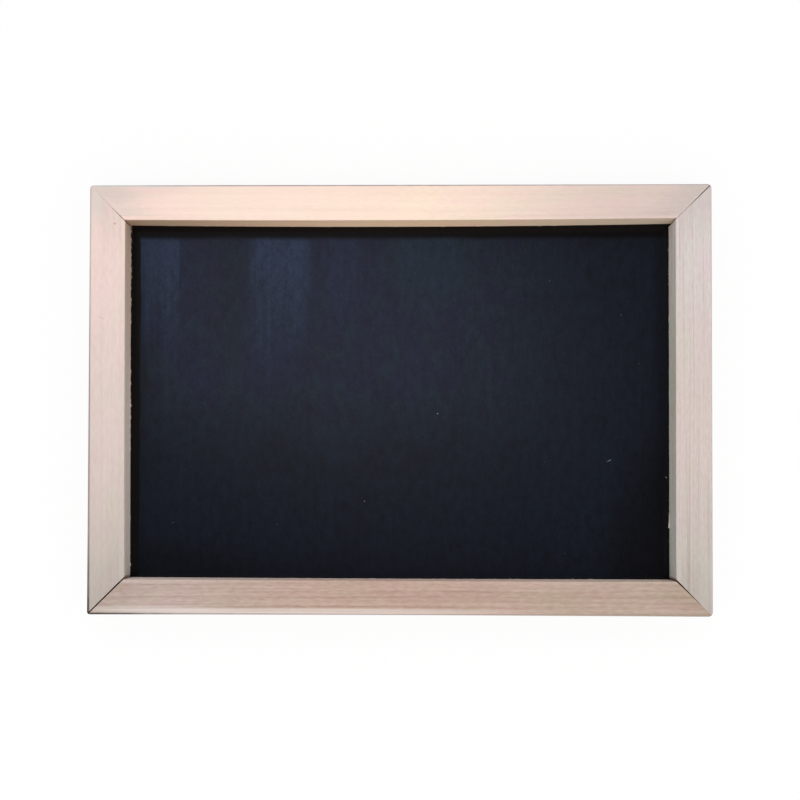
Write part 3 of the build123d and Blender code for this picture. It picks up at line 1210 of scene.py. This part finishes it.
def buildFleckTree():
    tree, given, made = newTree(
        "chalkFlecks",
        "GeometryNodeTree",
        {"Geometry": ["Places"], "Float": ["Thickness", "Seed"], "Material": ["Material"]},
        {"Geometry": ["Flecks"]},
    )
    ball = output("GeometryNodeMeshIcoSphere", {"Radius": 0.5, "Subdivisions": 2})
    where = output("GeometryNodeInputPosition")
    lumps = fade(noise(where, *fleckSet["lumps"], given["Seed"]), *fleckSet["lumpSizes"])
    values = {"Geometry": ball, "Position": scaled(where, lumps)}
    crumb = output("GeometryNodeSetPosition", values)
    size = output("GeometryNodeInputNamedAttribute", {"Name": "size"}, data_type="FLOAT_VECTOR")
    length, width, turn = split(size)
    values = {
        "Points": given["Places"],
        "Instance": crumb,
        "Rotation": spin(turn),
        "Scale": joined(length, width, given["Thickness"]),
    }
    spread = output("GeometryNodeInstanceOnPoints", values)
    finishTree(spread, given["Material"], made["Flecks"])
    return tree


def chalkMaterial():
    material, shader = newMaterial("chalk_lint")
    grit = noise(objectVector(), *fleckSet["grit"])
    whiteness = add("ShaderNodeAttribute", attribute_name="whiteness").outputs["Fac"]
    share = total(whiteness, centred(grit, fleckSet["gritWhite"]))
    plug(shader["Base Color"], mixColor(share, fleckSet["dull"], fleckSet["white"]))
    plug(shader["Roughness"], total(fleckSet["rough"], centred(grit, fleckSet["gritRough"])))
    return material


def makeFlecks():
    level = panelFace + fleckSet["rise"] * fleckSet["thickness"] * mm
    spots = []
    sizes = []
    whites = []
    for across, down, length, width, turn, white in fleckSet["places"]:
        spot = pointAtLevel((across, down), panelFace)
        spots.append((spot.x, spot.y, level))
        sizes += [length * mm, width * mm, math.radians(turn)]
        whites.append(white)
    mesh = bpy.data.meshes.new("fleckPlaces")
    mesh.from_pydata(spots, [], [])
    mesh.attributes.new("size", "FLOAT_VECTOR", "POINT").data.foreach_set("vector", sizes)
    mesh.attributes.new("whiteness", "FLOAT", "POINT").data.foreach_set("value", whites)
    values = {"Thickness": fleckSet["thickness"] * mm, "Seed": fleckSet["seed"], "Material": chalkMaterial()}
    flecks = growPiece("chalk_flecks", mesh, buildFleckTree(), values)
    pointsOutward(flecks.data, fleckSet["sharpAngle"])
    settle(flecks)


makeFlecks()
print("flecks made")


# Floor, light and camera
stageSet = {
    "floorSize": 40.0,  # metres
    "floorColor": (0.86, 0.86, 0.86),
    "floorRough": 0.9,
    "floorWhite": 0.9,  # share of the floor's own white, the rest takes light and shadow
    "white": (1.0, 1.0, 1.0),
    "low": 0.78,  # light from low on the walls
    "ring": 1.52,  # from the soft boxes round the board
    "overhead": 0.18,  # from the ceiling
    "ringFoot": (0.25, 0.5),  # heights of direction between which the soft boxes begin
    "ringTop": (0.78, 0.87),
    "lean": (0.11, -0.12, 0.0),  # the ring is brighter on these sides
    "glow": 0.5,  # a soft box overhead, seen faintly in the panel
    "glowWay": (-0.118, 0.216, 0.969),
    "glowSize": (1.67, 1.0, 1.0),  # it is wider than it is deep
    "glowTilt": -13.8,  # degrees
    "glowReach": (0.308, 0.063),  # from its middle: no light, whole light
    "keyPlace": (0.08, -0.6, 1.0),
    "keySize": 0.4,
    "keyPower": 2.3,
    "keyColor": (1.0, 0.96, 0.92),
}


def makeFloor():
    reach = stageSet["floorSize"] / 2
    corners = [(-reach, -reach, 0.0), (reach, -reach, 0.0), (reach, reach, 0.0), (-reach, reach, 0.0)]
    mesh = bpy.data.meshes.new("floor")
    mesh.from_pydata(corners, [], [(0, 1, 2, 3)])
    floor = placed("floor", mesh)
    material, shader = newMaterial("pale_floor")
    plug(shader["Base Color"], stageSet["floorColor"])
    plug(shader["Roughness"], stageSet["floorRough"])
    rays = add("ShaderNodeLightPath").outputs
    seen = [rays[name] for name in ("Is Camera Ray", "Is Glossy Ray", "Is Transmission Ray")]
    share = product(chain("MAXIMUM", seen), stageSet["floorWhite"])
    nodes = material.node_tree.nodes
    lit = nodes["Principled BSDF"].outputs[0]
    white = output("ShaderNodeEmission", {"Color": stageSet["white"], "Strength": 1.0})
    surface = output("ShaderNodeMixShader", {0: share, 1: lit, 2: white})
    plug(nodes["Material Output"].inputs["Surface"], surface)
    mesh.materials.append(material)


def makeWorld():
    world = bpy.data.worlds.new("studio")
    world.use_nodes = True
    drawing["tree"] = world.node_tree
    way = add("ShaderNodeTexCoord").outputs["Generated"]
    height = split(way)[2]
    ring = fade(height, *stageSet["ringFoot"], stageSet["low"], stageSet["ring"])
    ring = product(ring, total(vectorValue("DOT_PRODUCT", way, stageSet["lean"]), 1.0))
    walls = between(fade(height, *stageSet["ringTop"]), ring, stageSet["overhead"])
    glowPlace = Vector(stageSet["glowWay"]).normalized()
    box = mapped(way, glowPlace, stageSet["glowSize"], stageSet["glowTilt"])
    away = vectorValue("LENGTH", box)
    glow = fade(away, *stageSet["glowReach"], 0.0, stageSet["glow"])
    background = world.node_tree.nodes["Background"].inputs
    plug(background["Strength"], total(walls, glow))
    plug(background["Color"], stageSet["white"])
    bpy.context.scene.world = world


def makeKey():
    lamp = bpy.data.lights.new("key", "AREA")
    lamp.size = stageSet["keySize"]
    lamp.energy = stageSet["keyPower"]
    lamp.color = stageSet["keyColor"]
    key = placed("key", lamp)
    key.location = stageSet["keyPlace"]
    key.rotation_euler = Vector(stageSet["keyPlace"]).to_track_quat("Z", "Y").to_euler()


def makeCamera():
    lens = bpy.data.cameras.new("camera")
    lens.lens = cameraSet["lens"]
    lens.sensor_width = cameraSet["sensor"]
    lens.shift_x, lens.shift_y = cameraSet["shift"]
    lens.clip_start = cameraSet["nearest"] * mm
    camera = placed("camera", lens)
    camera.location = Vector(cameraSet["place"]) * mm
    camera.rotation_euler = cameraTurn()
    bpy.context.scene.camera = camera


makeFloor()
makeWorld()
makeKey()
makeCamera()
bpy.context.scene.view_settings.view_transform = "Standard"
print("stage set")
